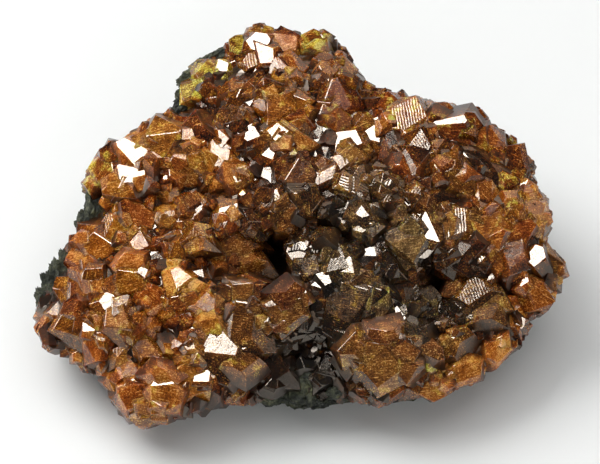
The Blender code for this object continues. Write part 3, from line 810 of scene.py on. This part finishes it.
def covers_named(u, v):
    """Whether u, v lies on the clear face of a named crystal."""
    for x, y, half_x, half_y, _, _, _ in KEY_CRYSTALS:
        reach = math.hypot((u - x + CENTRE[0]) / half_x, (v - CENTRE[1] + y) / half_y)
        if reach < (0.9 if min(half_x, half_y) < NAMED_SMALL else 0.75):
            return True
    return False


def add_small(gather, spot, size, normal, turn, stands, rng):
    """One small crystal at spot that looks along normal, if it fits inside the outline and over the sheet."""
    bm = crystal_form(size, size * rng.uniform(0.5, 1.0), rng.uniform(0.3, 0.7), 4, size * 1.2 + 8, rng)
    lift = Vector((0, 0, 1)).rotation_difference(normal).to_matrix() @ Matrix.Rotation(turn, 3, "Z")
    if overhang(bm, lift, spot, SMALL_OVERHANG) > 0 or lowest(bm, lift, spot) < LOWEST_CORNER:
        bm.free()
        return
    gather.add(bm, lift, spot, crystal_tone(spot.x, spot.y, stands, tone_rng), 2 * size)


small = Gather("small_crystals")
rng = random.Random(77)
for _ in range(SMALL_ON_FACE):
    angle, reach = rng.uniform(0, math.tau), math.sqrt(rng.random()) * 0.99
    radius = (rim_at(math.cos(angle), math.sin(angle)) - FACE_INSET) * reach
    u, v = radius * math.cos(angle), radius * math.sin(angle)
    size = SMALLEST + LARGER_BY * rng.random() ** 1.5
    if covers_named(u, v) or in_hollow(u, v) or on_crag(u, v):
        continue
    if near_matrix(u, v) and rng.random() < ON_ROCK:
        continue
    normal = (face_normal(u, v) + Vector((rng.gauss(0, 0.45), rng.gauss(0, 0.45) + 0.1, 0.3))).normalized()
    stands = rng.uniform(-2, 9)
    spot = Vector((u, v, face_height(u, v) + stands))
    add_small(small, spot, size, normal, grain_turn(u, v) + rng.gauss(0, 0.6), stands, rng)
for _ in range(SMALL_ON_RIM):
    angle, down = rng.uniform(0, math.tau), rng.random() ** 1.2
    out = Vector((math.cos(angle), math.sin(angle), 0))
    size = rng.uniform(*SMALL_RIM_SIZES)
    radius = rim_at(out.x, out.y) - 0.45 * size - 9 * down
    u, v = radius * out.x, radius * out.y
    if on_crag(u, v):
        continue
    high = face_height(u, v) + RIM_STANDS
    spot = Vector((u, v, high - (high + FACE_LEAN * v + RIM_REACH * RIM_DEPTH) * down))
    place = to_world(*spot)
    if place.z < 1.5 * size * PIXEL or place.y > CAD_BOX[1][1] - 0.3 * size * PIXEL:
        continue
    scatter = Vector((rng.gauss(0, 0.3), rng.gauss(0, 0.3), rng.gauss(0.45 - 0.6 * down, 0.3)))
    turn = rng.uniform(0, math.tau)
    add_small(small, spot, size, (out + scatter).normalized(), turn, RIM_STANDS, rng)
small_crystals = small.build(orpiment)
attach(small_crystals, "root")

# The crust's body.
# The mass under the crystals, the same mineral, painted darker as shade since it is deep; it closes the crust
# behind.
BODY_INSET = 15       # how far it stays inside the outline, in pixels
BODY_BELOW = 3        # how far it stays under the crust's face
HOLLOW_DEPTH = 24     # and in the hollows
BODY_SHADED_TONE = (0.16, 0.04, 0.5, 0.5)
HOLLOW_PAINTED_SHADE = (0.0, 0.0, 0.5, 1.0)
bm = bmesh.new()
bmesh.ops.create_icosphere(bm, subdivisions=5, radius=1.0)
body = Gather("crust_body")
for vert in bm.verts:
    x, y, z = vert.co
    flat = math.hypot(x, y)
    radius = (rim_at(x, y) - BODY_INSET) * flat
    u, v = (radius * x / flat, radius * y / flat) if flat > 1e-6 else (0.0, 0.0)
    if z >= 0:
        w = face_height(u, v) - (HOLLOW_DEPTH if in_hollow(u, v) else BODY_BELOW)
    else:
        w = -FACE_LEAN * v - RIM_DEPTH * abs(z) ** 0.5
    w += 5.0 * noise.noise(Vector((u, v, w)) * 0.05) + 3.0 * noise.noise(Vector((u, v, w)) * 0.16)
    vert.co = (u, v, w)
# Painted shade: its face in and round the hollows is black.
shaded_hollow = [in_hollow(vert.co.x, vert.co.y, 8.0) and vert.co.z > 0 for vert in bm.verts]
body.add(bm, Matrix.Identity(3), Vector((0, 0, 0)), BODY_SHADED_TONE)
body.tones = [HOLLOW_PAINTED_SHADE if deep else tone for deep, tone in zip(shaded_hollow, body.tones)]
crust_body = body.build(orpiment)
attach(crust_body, "root")

# The host rock.
# Dark green-grey, fine-grained and rough, broken off around its sides and sawn flat underneath. Its surface
# follows the solid, cut finer, with cracks and chipped hollows pressed a little into it.
CHIP = 0.0015         # deepest hollow, in metres
SAWN = 0.0006         # height below which the sawn face stays flat
LARGE_CHIPS = 170     # to a metre
SMALL_CHIPS = 480
GRAINS = 1300


def srgb(r, g, b):
    """Linear colour from 0 to 255 display values."""
    return tuple(((c / 255 + 0.055) / 1.055) ** 2.4 if c > 10 else c / 255 / 12.92 for c in (r, g, b))


ROCK_COLOURS = [
    (0.34, srgb(12, 14, 13)), (0.46, srgb(36, 40, 32)), (0.56, srgb(74, 77, 57)), (0.7, srgb(142, 140, 98)),
]
rock_mat, tree, shader = new_material("host_rock_visual")
rock_place = add_node(tree, "ShaderNodeTexCoord").outputs["Object"]
grit = grain_noise(tree, rock_place, 2200.0, 5, 0.7)
blotch = grain_noise(tree, rock_place, 420.0, 4, 0.6)
speckle = math_node(tree, "MULTIPLY_ADD", blotch, 0.5, math_node(tree, "MULTIPLY", grit, 0.5))
tree.links.new(ramp(tree, speckle, ROCK_COLOURS), shader.inputs["Base Color"])
tree.links.new(spread(tree, grit, 0.35, 0.65, 0.85, 0.45), shader.inputs["Roughness"])
roughened = math_node(tree, "ADD", grit, math_node(tree, "MULTIPLY", blotch, 1.5))
tree.links.new(bumped(tree, roughened, 0.0003, 0.9), shader.inputs["Normal"])

# noise_vector starts from the time of day unless its seed is set.
noise.seed_set(SEED)


def chipped(place, scale):
    """Depth from 0 to 1 of the flat chips broken off at place, each leaning its own way.

    scale is how many chips there are to a metre.
    """
    spot = place * scale
    spot += 0.3 * noise.noise_vector(spot * 1.5)
    near, cells = noise.voronoi(spot)
    lean = noise.noise_vector(cells[0] * 3.7)
    edge = 1 - min(1.0, 6 * (near[1] - near[0]))
    return min(1.0, max(0.0, 0.45 + 1.4 * (spot - cells[0]).dot(lean) + 0.25 * edge))


bm = bmesh.new()
bm.from_mesh(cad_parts["matrix"].data)
bmesh.ops.remove_doubles(bm, verts=bm.verts, dist=1e-6)
bmesh.ops.triangulate(bm, faces=bm.faces)
for _ in range(3):
    bmesh.ops.subdivide_edges(bm, edges=bm.edges[:], cuts=1, use_grid_fill=True)
bm.normal_update()
pressed = []
for vert in bm.verts:
    rise = min(1.0, max(0.0, (vert.co.z - SAWN) / SAWN))
    depth = 0.5 * chipped(vert.co, LARGE_CHIPS) + 0.3 * chipped(vert.co, SMALL_CHIPS)
    depth += 0.2 * abs(noise.noise(vert.co * GRAINS))
    pressed.append(vert.co - vert.normal * CHIP * rise * depth)
for vert, place in zip(bm.verts, pressed):
    vert.co = place
mesh = bpy.data.meshes.new("host_rock")
bm.to_mesh(mesh)
bm.free()
mesh.materials.append(rock_mat)
host_rock = bpy.data.objects.new("host_rock", mesh)
scene.collection.objects.link(host_rock)
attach(host_rock, "root")
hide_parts("matrix")

# The rock between the crystals.
# Craggy points of the same host rock that come through the crust at its left and upper rim and below.
CRAG_FORM = (0.85, 1.8, 0.9)    # along the radius, along the rim and toward the lens, as shares of its size
CRAG_TONE = (0.5, 0, 0.5, 0)
CRAG_BELOW = 3                  # how far its middle stays under the crust's face, in pixels
crags = Gather("rock_crags")
for x, y, size in CRAGS:
    u, v = x - CENTRE[0], CENTRE[1] - y
    inward = min(1.0, (rim_at(u, v) - 0.8 * size) / math.hypot(u, v))
    u, v = u * inward, v * inward
    along = Matrix.Rotation(math.atan2(v, u), 3, "Z") @ Matrix.Diagonal(CRAG_FORM)
    bm = bmesh.new()
    bmesh.ops.create_icosphere(bm, subdivisions=4, radius=1.0)
    for vert in bm.verts:
        seed = vert.co * 1.3 + Vector((x, y, 0))
        bulge = 0.85 + 0.5 * noise.noise(seed) + 0.35 * abs(noise.noise(seed * 2.1))
        bulge += 0.22 * noise.noise(seed * 5.3)
        vert.co = vert.co * size * bulge
    crags.add(bm, along, Vector((u, v, face_height(u, v) - CRAG_BELOW)), CRAG_TONE)
rock_crags = crags.build(rock_mat)
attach(rock_crags, "root")
